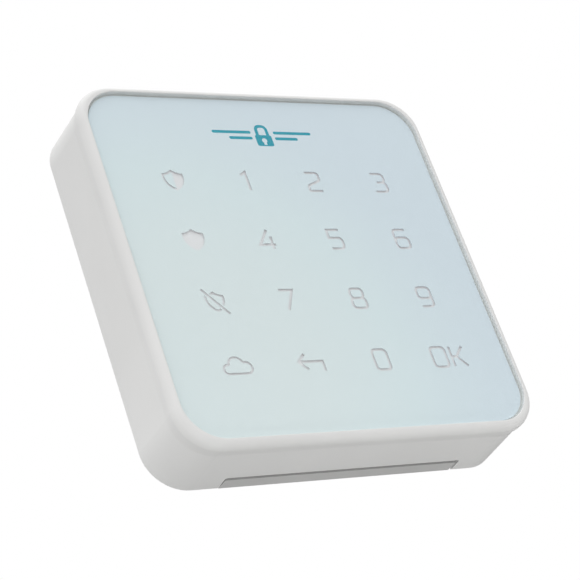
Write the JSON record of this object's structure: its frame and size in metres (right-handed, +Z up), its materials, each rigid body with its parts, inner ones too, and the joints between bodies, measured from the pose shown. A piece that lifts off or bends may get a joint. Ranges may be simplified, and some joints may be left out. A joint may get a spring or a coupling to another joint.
{
  "type": "alarm keypad panel",
  "caption": "Wall-mounted wireless touch keypad for an intruder alarm: glass front with backlit legends, deep moulded housing that tilts off a wall plate.",
  "frame": {"origin": "centre of the wall plate's back plane, on the wall, midway between the wall screw holes", "axes": "+X to the right seen from the front, +Y into the wall, +Z up the wall"},
  "size_m": [0.1044, 0.0222, 0.1058],
  "materials": {
    "white_abs_plate": "moulded, fine satin grain",
    "white_abs_housing": "moulded, fine satin grain",
    "front_glass": "polished",
    "white_print": "fired white print",
    "teal_print": "fired teal print",
    "bonding_tape": "matt foam tape",
    "diffuser": "translucent, matt",
    "white_frame": "moulded, satin",
    "circuit_board": "solder resist over glass fibre",
    "copper_pad": "gold plated copper",
    "led_package": "moulded clear over phosphor",
    "black_epoxy": "moulded epoxy",
    "shield_can": "tinned",
    "spring_steel": "drawn wire",
    "black_case": "moulded",
    "capacitor_can": "drawn can",
    "ceramic_parts": "sintered",
    "zinc_screw": "zinc plated",
    "grey_acetal": "moulded, satin",
    "black_slider": "moulded",
    "grey_abs_cover": "moulded, fine grain",
    "nickel_contact": "nickel plated strip",
    "cell_jacket": "printed film jacket over steel can"
  },
  "bodies": {
    "wall_plate": {"wall_plate": "white_abs_plate"},
    "keypad": {"front_housing": "white_abs_housing", "glass_panel": "front_glass", "legend_print": "white_print", "mark_print": "teal_print", "bonding_tape": "bonding_tape", "diffuser_sheet": "diffuser", "light_frame": "white_frame", "key_board": "circuit_board", "touch_pads": "copper_pad", "key_lights": "led_package", "controller_chip": "black_epoxy", "radio_module": "shield_can", "antenna_wire": "spring_steel", "sounder": "black_case", "board_capacitors": "capacitor_can", "small_board_parts": "ceramic_parts", "board_screws": "zinc_screw", "tamper_switch": "black_case", "tamper_spring": "spring_steel", "power_switch": "black_case", "rear_cover": "grey_abs_cover", "cover_screws": "zinc_screw", "battery_contacts": "nickel_contact", "battery_cell_1": "cell_jacket", "battery_cell_2": "cell_jacket", "battery_cell_3": "cell_jacket", "battery_cell_4": "cell_jacket"},
    "tamper_plunger": {"tamper_plunger": "grey_acetal"},
    "power_slider": {"power_slider": "black_slider"}
  },
  "joints": [
    {"name": "housing_tilt", "type": "hinge", "parent": "wall_plate", "child": "keypad", "pos_m": [0, -0.0004, 0.0529], "axis": [1, 0, 0], "range_deg": [-12, 0]},
    {"name": "tamper_travel", "type": "slide", "parent": "keypad", "child": "tamper_plunger", "axis": [0, 1, 0], "range_m": [0, 0.0015], "deforming": ["tamper_spring"]},
    {"name": "power_travel", "type": "slide", "parent": "keypad", "child": "power_slider", "axis": [1, 0, 0], "range_m": [0, 0.002]}
  ],
  "couplings": [
    {"joint": "tamper_travel", "follows": "housing_tilt", "m_per_rad": -0.007162}
  ]
}
